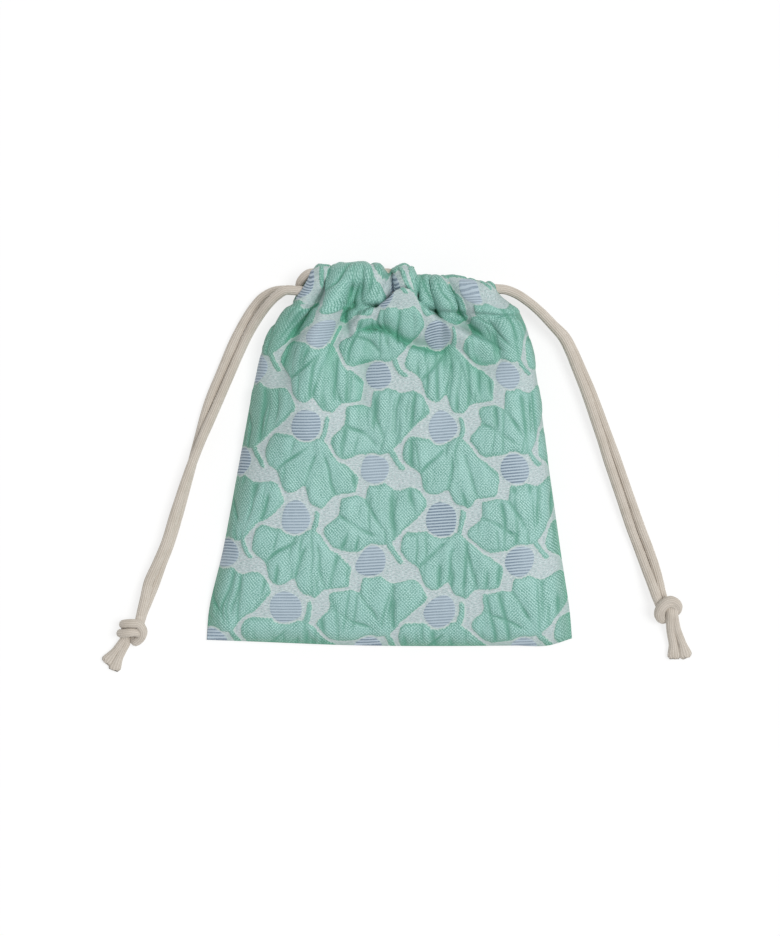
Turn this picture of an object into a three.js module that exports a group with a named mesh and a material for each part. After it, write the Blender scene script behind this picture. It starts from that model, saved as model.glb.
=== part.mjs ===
// A small drawstring pouch (kinchaku) that lies on its back with its mouth drawn in.
// Two cloth panels are sewn together at the sides and along the bottom. A band of the same cloth,
// folded in two, is sewn to the top of each panel as a casing. Two cords run round the mouth
// through both casings, one from each side, and each cord's two ends are tied in an overhand knot.
// Millimetres. +Z is up from the table, +Y points to the mouth, and X runs across the pouch.
import * as THREE from "three";

const { degToRad, lerp, mapLinear, smoothstep } = THREE.MathUtils;

// Overall sizes of the pouch as it lies.
const POUCH_WIDTH = 160; // across the bottom edge
const POUCH_LENGTH = 168; // bottom edge to the highest corner of the mouth
const MOUTH_WIDTH = 77; // the casings' folded top edges, drawn in by the cords
const MOUTH_TILT = degToRad(-3.4); // the mouth lies turned, with its left end higher

// Sizes of the sewing.
const CLOTH = 1.2; // thickness of the puffed cloth
const CASING_HEIGHT = 20; // mouth edge to the seam below the casing
const STITCH_MARGIN = 2; // sewn edge that closes a casing
const STITCH_WIDTH = 90; // a casing's sewn edge, gathered with the panel's top
const SLIT_LENGTH = 34; // below the casings the side seams open over this length
const SEAM_GAP = 0.3; // between pieces of cloth along their seams
const MOUTH_GAP = 4.8; // open slit between the two casings

// Sizes of the lying shape.
const BOTTOM_STRAIGHT = 10; // the sides run straight up from the bottom corners for this length
const SHOULDER_WIDTH = 121; // where the sides turn in to the mouth
const SHOULDER_DROP = 18; // from the casing's seam down to the shoulder
const BELLY = 13; // how far the front swells above a straight line from bottom to mouth
const SEAM_RISE = 6; // how far the side seams stand off the table
const FLAT_WIDTH_SHARE = 0.55; // share of the back's width that lies flat on the table
const FRONT_ROUNDING = 3; // a higher power is flatter on top and steeper at the sides

// Sizes of the cords.
const CORD_DIAMETER = 4;
const CORD_CLEARANCE = 0.5; // between a cord and the casing's cloth
const LANE_GAP = 2; // between the two cords inside a casing
const LEAD_OUT = 1.5; // a cord runs straight out of a casing for this length
const STRAND_GAP = 0.4; // between the two strands of a pair
const TOUCH_GAP = 0.3; // between a strand's end and what it meets
const KNOT_DIAMETER = 12.4;
const KNOT_LENGTH = 11;
const KNOT_HEIGHT = 9.6;
const KNOT_FACE_SHARE = 0.8; // a knot's flat end faces, as a share of its diameter
const TAIL_LENGTH = { left: 14, right: 19 };
const TAIL_SPREAD = degToRad(9); // each cord end leans out of the pair by this

// Facet counts.
const PANEL_COLUMNS = 22;
const PANEL_ROWS = 18;
const FOLD_SEGMENTS = 4;
const CORD_SIDES = 8;
const STRAND_STEPS = 24;
const RUN_STEPS = 42;
const TURN_POINTS = 8;
const TAIL_STEPS = 3;
const KNOT_SIDES = 14;
const KNOT_ROWS = 6;

// Heights and places that follow from the sizes above.
const CORD_RADIUS = CORD_DIAMETER / 2;
const TUNNEL = CORD_DIAMETER + 2 * CORD_CLEARANCE;
const CASING_DEPTH = TUNNEL + 2 * CLOTH;
const FRONT_TOP = 2 * CASING_DEPTH + MOUTH_GAP;
const BOTTOM_Y = -POUCH_LENGTH / 2;
const MOUTH_CORNER_LIFT = (MOUTH_WIDTH / 2) * Math.sin(-MOUTH_TILT);
const MOUTH_Y = (POUCH_LENGTH / 2 - MOUTH_CORNER_LIFT) / Math.cos(MOUTH_TILT);
const STITCH_Y = MOUTH_Y - CASING_HEIGHT;
const PANEL_TOP_Y = STITCH_Y - SEAM_GAP;

const CLOTH_FINISH = { color: 0x8fcdb2, roughness: 0.62, metalness: 0 };
const CORD_FINISH = { color: 0xd6cabb, roughness: 0.9, metalness: 0 };

const pouch = new THREE.Group();

function addPiece(name, geometry, finish) {
  const piece = new THREE.Mesh(geometry, new THREE.MeshStandardMaterial(finish));
  piece.name = name;
  pouch.add(piece);
}

// Turns a point about the pouch's middle, as the mouth is turned.
function tilted(x, y, turn = MOUTH_TILT) {
  const turned = new THREE.Vector2(x, y).rotateAround(new THREE.Vector2(), turn);
  return [turned.x, turned.y];
}

// The two panels.

// Half the pouch's width at a height y, before the mouth is turned.
function panelHalfWidth(y) {
  const straightTop = BOTTOM_Y + BOTTOM_STRAIGHT;
  const shoulderY = PANEL_TOP_Y - SHOULDER_DROP;
  if (y <= straightTop) return POUCH_WIDTH / 2;
  if (y <= shoulderY)
    return mapLinear(y, straightTop, shoulderY, POUCH_WIDTH / 2, SHOULDER_WIDTH / 2);
  const bendStart = shoulderY - SHOULDER_DROP;
  const before = smoothstep(shoulderY, bendStart, PANEL_TOP_Y);
  const bend = smoothstep(y, bendStart, PANEL_TOP_Y);
  return mapLinear(bend, before, 1, SHOULDER_WIDTH / 2, STITCH_WIDTH / 2);
}

// How far up the panel a height y lies, from 0 at the bottom edge to 1 at the casing.
function upPanel(y) {
  return (y - BOTTOM_Y) / (PANEL_TOP_Y - BOTTOM_Y);
}

// Share of the side seam that is sewn at a height y: 1 on the body and 0 at the casing.
function sewnShare(y) {
  return 1 - smoothstep(y, PANEL_TOP_Y - SLIT_LENGTH, PANEL_TOP_Y);
}

function seamHeight(y) {
  return SEAM_RISE * Math.sin(Math.PI * upPanel(y)) * sewnShare(y);
}

// Height of the back's outer face: flat on the table in the middle, and up to the seam at the sides.
function backHeight(u, y) {
  const side = Math.max(0, (Math.abs(u) - FLAT_WIDTH_SHARE) / (1 - FLAT_WIDTH_SHARE));
  return seamHeight(y) * side ** 2;
}

// Height of the front's outer face: swollen in the middle, and down to the seam at the sides.
function frontHeight(u, y) {
  const t = upPanel(y);
  const sewnTogether = 2 * CLOTH + SEAM_GAP;
  const middle = lerp(sewnTogether, FRONT_TOP, t) + 4 * BELLY * t * (1 - t);
  const drop = middle - seamHeight(y) - sewnTogether;
  return middle - drop * sewnShare(y) * Math.abs(u) ** FRONT_ROUNDING;
}

// A sheet of cloth laid to the height of its outer face, which looks up (1) or down (-1).
function panel(outerHeight, looks) {
  const sheet = new THREE.BoxGeometry(2, 1, 1, PANEL_COLUMNS, PANEL_ROWS, 1);
  const position = sheet.attributes.position;
  for (let i = 0; i < position.count; i++) {
    const u = Math.sin((position.getX(i) * Math.PI) / 2);
    const y = lerp(BOTTOM_Y, PANEL_TOP_Y, position.getY(i) + 0.5);
    const inwards = (0.5 - looks * position.getZ(i)) * CLOTH;
    const turn = MOUTH_TILT * smoothstep(y, BOTTOM_Y + BOTTOM_STRAIGHT, PANEL_TOP_Y);
    position.setXYZ(i, ...tilted(u * panelHalfWidth(y), y, turn), outerHeight(u, y) - looks * inwards);
  }
  return sheet;
}

addPiece("front_panel", panel(frontHeight, 1), CLOTH_FINISH);
addPiece("back_panel", panel(backHeight, -1), CLOTH_FINISH);

// The two casings.

function casingHalfWidth(y) {
  return mapLinear(y, STITCH_Y, MOUTH_Y, STITCH_WIDTH / 2, MOUTH_WIDTH / 2);
}

const FOLD_RADIUS = CASING_DEPTH / 2;
const BORE_RADIUS = TUNNEL / 2;
const BORE_LOW_Y = STITCH_Y + STITCH_MARGIN + BORE_RADIUS;
const BORE_HIGH_Y = MOUTH_Y - CLOTH - BORE_RADIUS;

// A band of cloth folded at the mouth and sewn shut below, with the tunnel that the cords run in.
// The section lies along the pouch and through its depth, and runs straight across the mouth.
function casing(middleHeight) {
  const section = new THREE.Shape();
  section.moveTo(STITCH_Y, -FOLD_RADIUS);
  section.lineTo(MOUTH_Y - FOLD_RADIUS, -FOLD_RADIUS);
  section.absarc(MOUTH_Y - FOLD_RADIUS, 0, FOLD_RADIUS, -Math.PI / 2, Math.PI / 2, false);
  section.lineTo(STITCH_Y, FOLD_RADIUS);
  section.closePath();
  const tunnel = new THREE.Path();
  tunnel.absarc(BORE_LOW_Y, 0, BORE_RADIUS, Math.PI / 2, (3 * Math.PI) / 2, false);
  tunnel.absarc(BORE_HIGH_Y, 0, BORE_RADIUS, -Math.PI / 2, Math.PI / 2, false);
  tunnel.closePath();
  section.holes.push(tunnel);
  const band = new THREE.ExtrudeGeometry(section, {
    depth: 2,
    steps: 1,
    curveSegments: FOLD_SEGMENTS,
    bevelEnabled: false,
  });
  const position = band.attributes.position;
  for (let i = 0; i < position.count; i++) {
    const y = position.getX(i);
    const x = (position.getZ(i) - 1) * casingHalfWidth(y);
    position.setXYZ(i, ...tilted(x, y), middleHeight + position.getY(i));
  }
  return band;
}

const CASING_MIDDLE = { front: FRONT_TOP - FOLD_RADIUS, back: FOLD_RADIUS };
addPiece("front_casing", casing(CASING_MIDDLE.front), CLOTH_FINISH);
addPiece("back_casing", casing(CASING_MIDDLE.back), CLOTH_FINISH);

// The two cords.

const OUTWARDS = { left: -1, right: 1 };
const LANE_OFFSET = (CORD_DIAMETER + LANE_GAP) / 2;
const LANE_Y = {
  left: (BORE_LOW_Y + BORE_HIGH_Y) / 2 - LANE_OFFSET,
  right: (BORE_LOW_Y + BORE_HIGH_Y) / 2 + LANE_OFFSET,
};
const PAIR_HALF = (CORD_DIAMETER + STRAND_GAP) / 2;

function cordAlong(points, steps) {
  const section = new THREE.Shape();
  section.absarc(0, 0, CORD_RADIUS, 0, 2 * Math.PI, false);
  return new THREE.ExtrudeGeometry(section, {
    steps,
    curveSegments: CORD_SIDES / 2,
    extrudePath: new THREE.CatmullRomCurve3(points.map((p) => new THREE.Vector3(...p))),
    bevelEnabled: false,
  });
}

// A point on a cord's lane, so far outwards past the end of the casing.
function pastCasing(side, end, outwards, height) {
  const x = OUTWARDS[end] * (casingHalfWidth(LANE_Y[side]) + outwards);
  return [...tilted(x, LANE_Y[side]), height];
}

// The stretch of a cord inside the casings: through the front one, round the far end of the mouth
// in a half circle, and back through the back one.
function casingRun(side) {
  const farEnd = side === "left" ? "right" : "left";
  const turnRadius = (CASING_MIDDLE.front - CASING_MIDDLE.back) / 2;
  const turnHeight = CASING_MIDDLE.back + turnRadius;
  const points = [pastCasing(side, side, 0, CASING_MIDDLE.front)];
  points.push(pastCasing(side, farEnd, 0, CASING_MIDDLE.front));
  for (let i = 0; i <= TURN_POINTS; i++) {
    const angle = (Math.PI * i) / TURN_POINTS;
    const outwards = LEAD_OUT + turnRadius * Math.sin(angle);
    points.push(pastCasing(side, farEnd, outwards, turnHeight + turnRadius * Math.cos(angle)));
  }
  points.push(pastCasing(side, farEnd, 0, CASING_MIDDLE.back));
  points.push(pastCasing(side, side, 0, CASING_MIDDLE.back));
  return cordAlong(points, RUN_STEPS);
}

// The free strands lie on the table in pairs. Each row is a point of the pair's middle line (x and
// y from where the pair leaves the casings), the pair's turn in degrees (0 has the strands side by
// side, with the front casing's strand nearer the pouch, and 90 has that strand on top), and the
// share of the casing's height that is left there.
const PAIR_ROUTE = {
  left: [
    [-7, 0.4, 90, 0.97],
    [-11.4, -1, 60, 0.84],
    [-15.8, -4.1, 28, 0.64],
    [-19.6, -8.6, 8, 0.4],
    [-23, -13.8, 0, 0.2],
    [-26.2, -19.6, 0, 0.07],
    [-29.2, -26, 0, 0.01],
    [-32.4, -33.6, 0, 0],
    [-38.9, -49, 5, 0],
    [-44.6, -64.8, 25, 0],
    [-49.7, -80.5, 45, 0],
    [-54.5, -96.3, 60, 0],
    [-59.6, -112.1, 55, 0],
    [-63.2, -120.2, 45, 0],
    [-66.4, -128.1, 40, 0],
    [-69, -135.2, 40, 0],
  ],
  right: [
    [5.5, -0.4, 90, 0.97],
    [10.4, -2, 90, 0.86],
    [15.4, -5.2, 90, 0.68],
    [20.4, -9.6, 88, 0.46],
    [25, -15, 84, 0.25],
    [29.2, -21.2, 76, 0.1],
    [32.8, -27.6, 64, 0.03],
    [35.8, -34, 52, 0],
    [40.5, -44.6, 32, 0],
    [46.3, -59.8, 12, 0],
    [51.7, -75.5, 0, 0],
    [57.1, -91.3, 0, 0],
    [62.8, -107.1, 0, 0],
    [65.8, -114.9, 5, 0],
    [68.7, -122.5, 10, 0],
    [71.1, -129, 15, 0],
  ],
};
const KNOT_OFFSET = { left: [-73.6, -146.2], right: [75.2, -139.4] };
const TAIL_HEADING = { left: [-0.47, -0.88], right: [0.25, -0.97] };

function heading([fromX, fromY], [toX, toY]) {
  return new THREE.Vector2(toX - fromX, toY - fromY).normalize();
}

// The way in which a pair of strands comes to its knot.
function knotHeading(side) {
  return heading(PAIR_ROUTE[side].at(-1), KNOT_OFFSET[side]);
}

// A point on a pair's middle line, so far before (below zero) or past the middle of its knot.
function fromKnot(side, past) {
  const [exitX, exitY] = pastCasing(side, side, 0, 0);
  const way = knotHeading(side);
  const [x, y] = KNOT_OFFSET[side];
  return [exitX + x + way.x * past, exitY + y + way.y * past];
}

// A point of one strand, beside or above a point of the pair's middle line.
function besidePair([x, y], way, turn, side, face) {
  const angle = degToRad(turn);
  const inner = face === "front" ? 1 : -1;
  const across = PAIR_HALF * Math.cos(angle) * inner * -OUTWARDS[side];
  const height = CORD_RADIUS + PAIR_HALF * Math.sin(angle) * (1 + inner);
  return [x - across * way.y, y + across * way.x, height];
}

function strand(side, face) {
  const route = PAIR_ROUTE[side];
  const exitHeight = CASING_MIDDLE[face];
  const points = [
    pastCasing(side, side, TOUCH_GAP, exitHeight),
    pastCasing(side, side, TOUCH_GAP + LEAD_OUT, exitHeight),
  ];
  const [exitX, exitY] = pastCasing(side, side, 0, 0);
  route.forEach(([x, y, turn, heldShare], i) => {
    const way = heading(route[Math.max(0, i - 1)], route[i + 1] ?? KNOT_OFFSET[side]);
    const [strandX, strandY, height] = besidePair([exitX + x, exitY + y], way, turn, side, face);
    points.push([strandX, strandY, lerp(height, exitHeight, heldShare)]);
  });
  const end = fromKnot(side, -KNOT_LENGTH / 2 - TOUCH_GAP);
  points.push(besidePair(end, knotHeading(side), route.at(-1)[2], side, face));
  return cordAlong(points, STRAND_STEPS);
}

// A knot's outer shape: a barrel on its side, with flat ends that the strands and cord ends meet.
function knot(side) {
  const radius = KNOT_DIAMETER / 2;
  const faceRadius = radius * KNOT_FACE_SHARE;
  const half = KNOT_LENGTH / 2;
  const bulge = new THREE.QuadraticBezierCurve(
    new THREE.Vector2(faceRadius, -half),
    new THREE.Vector2(2 * radius - faceRadius, 0),
    new THREE.Vector2(faceRadius, half),
  );
  const profile = [new THREE.Vector2(0, -half), ...bulge.getPoints(KNOT_ROWS), new THREE.Vector2(0, half)];
  const barrel = new THREE.LatheGeometry(profile, KNOT_SIDES);
  barrel.scale(1, 1, KNOT_HEIGHT / KNOT_DIAMETER);
  barrel.rotateZ(knotHeading(side).angle() - Math.PI / 2);
  barrel.computeBoundingBox();
  barrel.translate(...fromKnot(side, 0), -barrel.boundingBox.min.z);
  return barrel;
}

// A cord end below the knot, leaning away from its neighbour.
function tail(side, face) {
  const way = knotHeading(side);
  const inner = face === "front" ? 1 : -1;
  const lean = new THREE.Vector2(...TAIL_HEADING[side]);
  lean.rotateAround(new THREE.Vector2(), inner * -OUTWARDS[side] * TAIL_SPREAD);
  const start = besidePair(fromKnot(side, KNOT_LENGTH / 2 + TOUCH_GAP), way, 0, side, face);
  const [x, y, height] = start;
  const straight = [x + way.x * CORD_RADIUS, y + way.y * CORD_RADIUS, height];
  const end = [x + lean.x * TAIL_LENGTH[side], y + lean.y * TAIL_LENGTH[side], height];
  return cordAlong([start, straight, end], TAIL_STEPS);
}

for (const side of ["left", "right"]) {
  addPiece(`${side}_cord_casing_run`, casingRun(side), CORD_FINISH);
  for (const face of ["front", "back"]) {
    addPiece(`${side}_cord_${face}_strand`, strand(side, face), CORD_FINISH);
    addPiece(`${side}_cord_${face}_tail`, tail(side, face), CORD_FINISH);
  }
  addPiece(`${side}_cord_knot`, knot(side), CORD_FINISH);
}

export default pouch;
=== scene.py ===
import bpy
import numpy as np
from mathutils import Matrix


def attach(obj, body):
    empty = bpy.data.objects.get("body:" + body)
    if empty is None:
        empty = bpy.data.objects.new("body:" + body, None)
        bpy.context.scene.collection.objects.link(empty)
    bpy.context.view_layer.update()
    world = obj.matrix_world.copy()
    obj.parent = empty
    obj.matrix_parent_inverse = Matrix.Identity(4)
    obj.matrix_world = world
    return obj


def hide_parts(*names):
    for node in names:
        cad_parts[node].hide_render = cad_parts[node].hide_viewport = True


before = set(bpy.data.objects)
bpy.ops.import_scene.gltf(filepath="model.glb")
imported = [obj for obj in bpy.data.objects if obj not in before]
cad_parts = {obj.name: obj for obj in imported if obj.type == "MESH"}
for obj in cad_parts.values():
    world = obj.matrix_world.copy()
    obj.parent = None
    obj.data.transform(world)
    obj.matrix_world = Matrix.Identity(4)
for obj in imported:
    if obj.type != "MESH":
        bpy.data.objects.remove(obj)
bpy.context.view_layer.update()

# The front panel.
# One piece of puffed cloth, sewn to the back panel at the sides and along the bottom edge.
# Its top is gathered into the casing, and folds run down from the gathers into the body.

MM = 0.001
CLOTH_WIDTH = 160.0  # cut width of both panels and both casings
CAMERA_HEIGHT = 969.0
VIEW_MIDDLE = np.array([0.2, -5.9])
SEAM_LEVEL = 63.8  # the casing's seam at the middle of the pouch
BOTTOM_LEVEL = -83.7
MOUTH_LEAN = -0.0594  # the mouth lies turned, with its left end higher


def smoothstep(low, high, value):
    t = np.clip((value - low) / (high - low), 0, 1)
    return t * t * (3 - 2 * t)


def through(points, at):
    """Reads a smooth line through a few (place, value) points."""
    places, values = np.array(sorted(points), dtype=float).T
    slopes = np.gradient(values, places)
    at = np.clip(at, places[0], places[-1])
    i = np.clip(np.searchsorted(places, at) - 1, 0, len(places) - 2)
    span = places[i + 1] - places[i]
    t = (at - places[i]) / span
    rise = values[i + 1] - values[i]
    eased = t * t * (3 - 2 * t)
    left_pull = t * (1 - t) ** 2 * span * slopes[i]
    right_pull = t * t * (1 - t) * span * slopes[i + 1]
    return values[i] + rise * eased + left_pull - right_pull


def soft_noise(x, y, seed):
    """Smooth seeded noise from about -1 to 1, one feature to each unit of x and y."""
    lattice = np.random.default_rng(seed).uniform(-1, 1, (64, 64))
    x0 = np.floor(x).astype(int)
    y0 = np.floor(y).astype(int)
    fx = smoothstep(0, 1, x - x0)
    fy = smoothstep(0, 1, y - y0)
    low = lattice[x0 % 64, y0 % 64] * (1 - fx) + lattice[(x0 + 1) % 64, y0 % 64] * fx
    high = lattice[x0 % 64, (y0 + 1) % 64] * (1 - fx) + lattice[(x0 + 1) % 64, (y0 + 1) % 64] * fx
    return low * (1 - fy) + high * fy


# The gathers from left to right, at the seam and at the mouth edge: the cloth in each one, how far
# round it bulges in degrees, and how far it runs down below the seam before it has faded.
SEAM_GATHERS = [
    (18.6, 104, 40),
    (25.0, 92, 44),
    (22.8, 78, 20),
    (25.0, 118, 20),
    (13.7, 114, 12),
    (17.8, 114, 14),
    (37.1, 60, 34),
]
MOUTH_GATHERS = [(18.6, 92, 1), (47.8, 66, 1), (25.0, 122, 1), (13.7, 84, 1), (17.8, 92, 1), (37.1, 50, 1)]


def gather_slopes(across, below, gathers):
    """Slope of the gathered cloth in radians, for places across it and one distance below the seam."""
    edges = np.cumsum([0] + [cloth for cloth, bulge, fade in gathers])
    edges = edges * CLOTH_WIDTH / edges[-1]
    slope = np.zeros_like(across)
    for (cloth, bulge, fade), start, end in zip(gathers, edges[:-1], edges[1:]):
        inside = (across >= start) & (across <= end)
        strength = np.radians(bulge) * np.exp(-below / fade)
        slope = np.where(inside, strength * (start + end - 2 * across) / (end - start), slope)
    step = across[1] - across[0]
    spread = 0.7 + 0.085 * below
    reach = int(3 * spread / step) + 1
    kernel = np.exp(-0.5 * (np.arange(-reach, reach + 1) * step / spread) ** 2)
    padded = np.concatenate([slope[:1].repeat(reach), slope, slope[-1:].repeat(reach)])
    return np.convolve(padded, kernel / kernel.sum(), mode="valid")


def lay_across(across, slope, left, right, edge_height):
    """Lays one row of cloth with these slopes between its two ends: places across and heights."""
    step = across[1] - across[0]
    run = np.concatenate([[0], np.cumsum(np.cos(slope[:-1]) * step)])
    rise = np.concatenate([[0], np.cumsum(np.sin(slope[:-1]) * step)])
    rise = rise - rise[-1] * across / across[-1]
    fit = (right - left) / run[-1]
    return left + fit * run, edge_height + fit * rise


LEFT_EDGE = [
    (70, -40.0),
    (66.9, -41.5),
    (63.3, -45.2),
    (59.5, -48.1),
    (54.6, -51.7),
    (44.1, -56.4),
    (33.5, -58.9),
    (2.0, -64.9),
    (-40.1, -72.7),
    (-71.7, -79.4),
    (-84, -80.2),
]
RIGHT_EDGE = [
    (68.6, 49.3),
    (63.3, 56.0),
    (57.5, 59.3),
    (49.3, 61.8),
    (33.5, 64.6),
    (2.0, 68.8),
    (-40.1, 74.7),
    (-71.7, 79.1),
    (-84, 80.0),
]
BOTTOM_EDGE = [(-80, 2.4), (-55.9, 1.5), (-21.7, 0.2), (55, 0), (70.4, 0.2), (80, 3.2)]
MIDDLE_HEIGHT = [
    (-84, 1.0),
    (-81.5, 3.2),
    (-77, 6.0),
    (-69, 9.2),
    (-49, 13.4),
    (-14, 17.4),
    (26, 19.6),
    (64, 17),
]
SIDE_HEIGHT = [(-84, 0.9), (-64, 2.6), (-14, 4.0), (26, 4.6), (42, 6.4), (64, 13.2)]


def seam_line(x):
    return SEAM_LEVEL + MOUTH_LEAN * x


def seam_shows(x):
    """How far the seam is pressed in: plainly on the right, while on the left the folds run over it."""
    return 0.1 + 0.9 * smoothstep(6, 20, x)


SEAM_DEPTH = 0.7
SEAM_REACH = 1.1


def press_seam(place, from_seam):
    place[..., 2] -= SEAM_DEPTH * seam_shows(place[..., 0]) * np.exp(-((from_seam / SEAM_REACH) ** 2))


def lay_panel(columns, rows, height_of_row):
    """Lays a panel as it is seen from above. Gives the cloth places and the laid places."""
    levels = np.linspace(SEAM_LEVEL, BOTTOM_LEVEL, 400)
    steps = np.hypot(np.diff(levels), np.diff(through(MIDDLE_HEIGHT, levels)))
    lengths = np.concatenate([[0], np.cumsum(steps)])
    across = np.linspace(0, CLOTH_WIDTH, columns)
    below = np.linspace(0, lengths[-1], rows)
    place = np.zeros((rows, columns, 3))
    for i, level in enumerate(np.interp(below, lengths, levels)):
        lean = smoothstep(-95, 64, level) * MOUTH_LEAN
        near_bottom = smoothstep(-50, BOTTOM_LEVEL, level)
        guess = np.array([through(LEFT_EDGE, level), through(RIGHT_EDGE, level)])
        ends = level + lean * guess
        left = through(LEFT_EDGE, ends[0])
        right = through(RIGHT_EDGE, ends[1])
        x, z = height_of_row(across, below[i], level, left, right)
        place[i, :, 0] = x
        place[i, :, 1] = level + lean * x + near_bottom * through(BOTTOM_EDGE, x)
        place[i, :, 2] = z
    return across, below, place


def front_row(across, below, level, left, right, at_mouth=0.0):
    side = across / CLOTH_WIDTH * 2 - 1
    edge = through(SIDE_HEIGHT, level)
    loft = through(MIDDLE_HEIGHT, level) - edge
    shoulder = np.where(side < 0, 5.5 - 3 * smoothstep(-50, 25, level), 5.5)
    roll = np.minimum(1.35, (shoulder + 1) * loft / (CLOTH_WIDTH / 2))
    slope = -roll * np.sign(side) * np.abs(side) ** shoulder
    slope = slope + (1 - at_mouth) * gather_slopes(across, below, SEAM_GATHERS)
    slope = slope + at_mouth * gather_slopes(across, below, MOUTH_GATHERS)
    return lay_across(across, slope, left, right, edge)


def from_line(points, x, y):
    """Distance to the left (above zero) or right of a line of points, and the share passed along it."""
    points = np.array(points, dtype=float)
    lengths = np.hypot(*np.diff(points, axis=0).T)
    starts = np.concatenate([[0], np.cumsum(lengths)])
    nearest = np.full(x.shape, 1e6)
    side = np.zeros(x.shape)
    share = np.zeros(x.shape)
    for a, b, length, start in zip(points[:-1], points[1:], lengths, starts):
        way = (b - a) / length
        along = np.clip((x - a[0]) * way[0] + (y - a[1]) * way[1], 0, length)
        dx = x - a[0] - along * way[0]
        dy = y - a[1] - along * way[1]
        gap = np.hypot(dx, dy)
        closer = gap < nearest
        nearest = np.where(closer, gap, nearest)
        side = np.where(closer, np.sign(way[0] * dy - way[1] * dx), side)
        share = np.where(closer, (start + along) / starts[-1], share)
    return nearest * side, share


# Ridges (above zero) and creases (below zero) that the gathers press into the body: the height,
# the reach to the left and right of the line, and the line's points from the mouth downwards.
PRESSED_FOLDS = [
    (2.4, 5, 6, [(-22, 79), (-24.3, 73.9), (-27.8, 67.3), (-32.7, 58.5), (-36.6, 47.1), (-40.1, 32.7)]),
    (-3.0, 2.2, 3.6, [(-30, 73.4), (-31.6, 69), (-34.9, 61.2), (-39.2, 56.8), (-48, 44.9)]),
    (-2.6, 1.6, 2.4, [(-16, 77.4), (-17.3, 70.8), (-19.1, 62), (-18.6, 55.5), (-16.4, 47)]),
    (-3.8, 3.6, 1.8, [(-19, 54.5), (-8, 55.2), (-1.1, 54.5), (4, 50.4), (16.4, 45.8), (28, 45.2)]),
    (-2.0, 2.6, 2.2, [(13, 70), (19, 64), (27, 59.5), (37, 54.5), (48, 50)]),
    (1.8, 6, 7, [(47, 62), (51, 54), (55, 44), (57, 30)]),
    (-1.6, 2.5, 4, [(44, 60), (46.5, 54), (48, 47), (48.5, 38)]),
    (4.0, 22, 15, [(-25, 72), (-29, 58), (-33, 42), (-36, 24), (-38, 6), (-40, -14)]),
    (1.3, 8, 8, [(20, 42), (16, 25), (14, 5), (15, -15)]),
    (-1.2, 4, 5, [(-10, 44), (-13, 30), (-12, 12)]),
]


def press_folds(place):
    for height, left_reach, right_reach, line in PRESSED_FOLDS:
        gap, share = from_line(line, place[..., 0], place[..., 1])
        reach = np.where(gap > 0, left_reach, right_reach)
        ends = smoothstep(0, 0.16, share) * smoothstep(1, 0.6, share)
        place[..., 2] += height * ends * np.exp(-((gap / reach) ** 2))


# The tent fold: just below the seam the body's cloth has been pushed up over the casing.
TENT_SINK = 5.5  # how far the seam and the casing lie under it
TENT_RIDGE = [
    (-17, 58.5),
    (-14.7, 59.4),
    (-5, 64.2),
    (0.2, 68.6),
    (2.8, 71.7),
    (6.8, 72.8),
    (10.3, 71.2),
    (12.5, 66.9),
    (16.4, 62.5),
    (24.3, 57.2),
    (34, 52),
    (46, 47),
]


def under_tent(x):
    """How far a place across the pouch is under the tent fold's peak, from 0 to 1."""
    return smoothstep(-15, -3, x) * smoothstep(23, 12, x)


def push_up_tent(place, below):
    x = place[..., 0]
    below = below[:, None]
    ridge = np.interp(x, *np.array(TENT_RIDGE).T)
    window = smoothstep(-19, -12, x) * smoothstep(48, 36, x)
    peak = under_tent(x)
    evened = soften(soften(place[..., 2], 9), 9)
    place[..., 2] += (evened - place[..., 2]) * peak * smoothstep(0, 5, below) * smoothstep(60, 25, below)
    sunk = np.clip(seam_line(x) - ridge + 2.5, 7, 18)
    lift = (ridge - seam_line(x) + sunk) * window
    past = below - sunk
    place[..., 1] += lift * np.where(past < 0, smoothstep(0, 1, below / sunk), np.exp(-((past / 32) ** 2)))
    place[..., 2] -= TENT_SINK * peak * smoothstep(sunk, 0, below)
    crest = (4.6 + 3.0 * np.exp(-(((x - 6.8) / 9) ** 2))) * window
    fall = 7.5 + 9 * np.exp(-(((x - 5) / 11) ** 2))
    place[..., 2] += crest * np.exp(-((past / np.where(past < 0, 2.6, fall)) ** 2))


def tuck_under_tent(place):
    """Sinks the casing's face where the tent fold lies over it."""
    x = place[..., 0]
    ridge = np.interp(x, *np.array(TENT_RIDGE).T)
    covered = smoothstep(ridge + 2.5, ridge - 3, place[..., 1])
    at_seam = smoothstep(4, 0, place[..., 1] - seam_line(x))
    place[..., 2] -= TENT_SINK * under_tent(x) * np.maximum(covered, at_seam)


# Ginkgo leaves in upright columns, with round nuts between them. Every second column is dropped by
# half a repeat and has its leaves turned over.
COLUMN_WIDTH = 34.0
REPEAT_HEIGHT = 41.0
FIRST_LEAF = (4.0, 9.0)
LEAF_TURN = (-25, 200)  # degrees, in the first column and in the second
LEAF_LENGTH = 28.4
LEAF_CORNER = 3.2
LOBE_ANGLE = 0.6  # radians between two of a leaf's veins, which part its four lobes
NUTS = [(34.5, 10.5, 7.0), (70.5, 29.5, 6.6)]  # place in a repeat of two columns, and radius
PALE_GAP = 0.8


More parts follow.
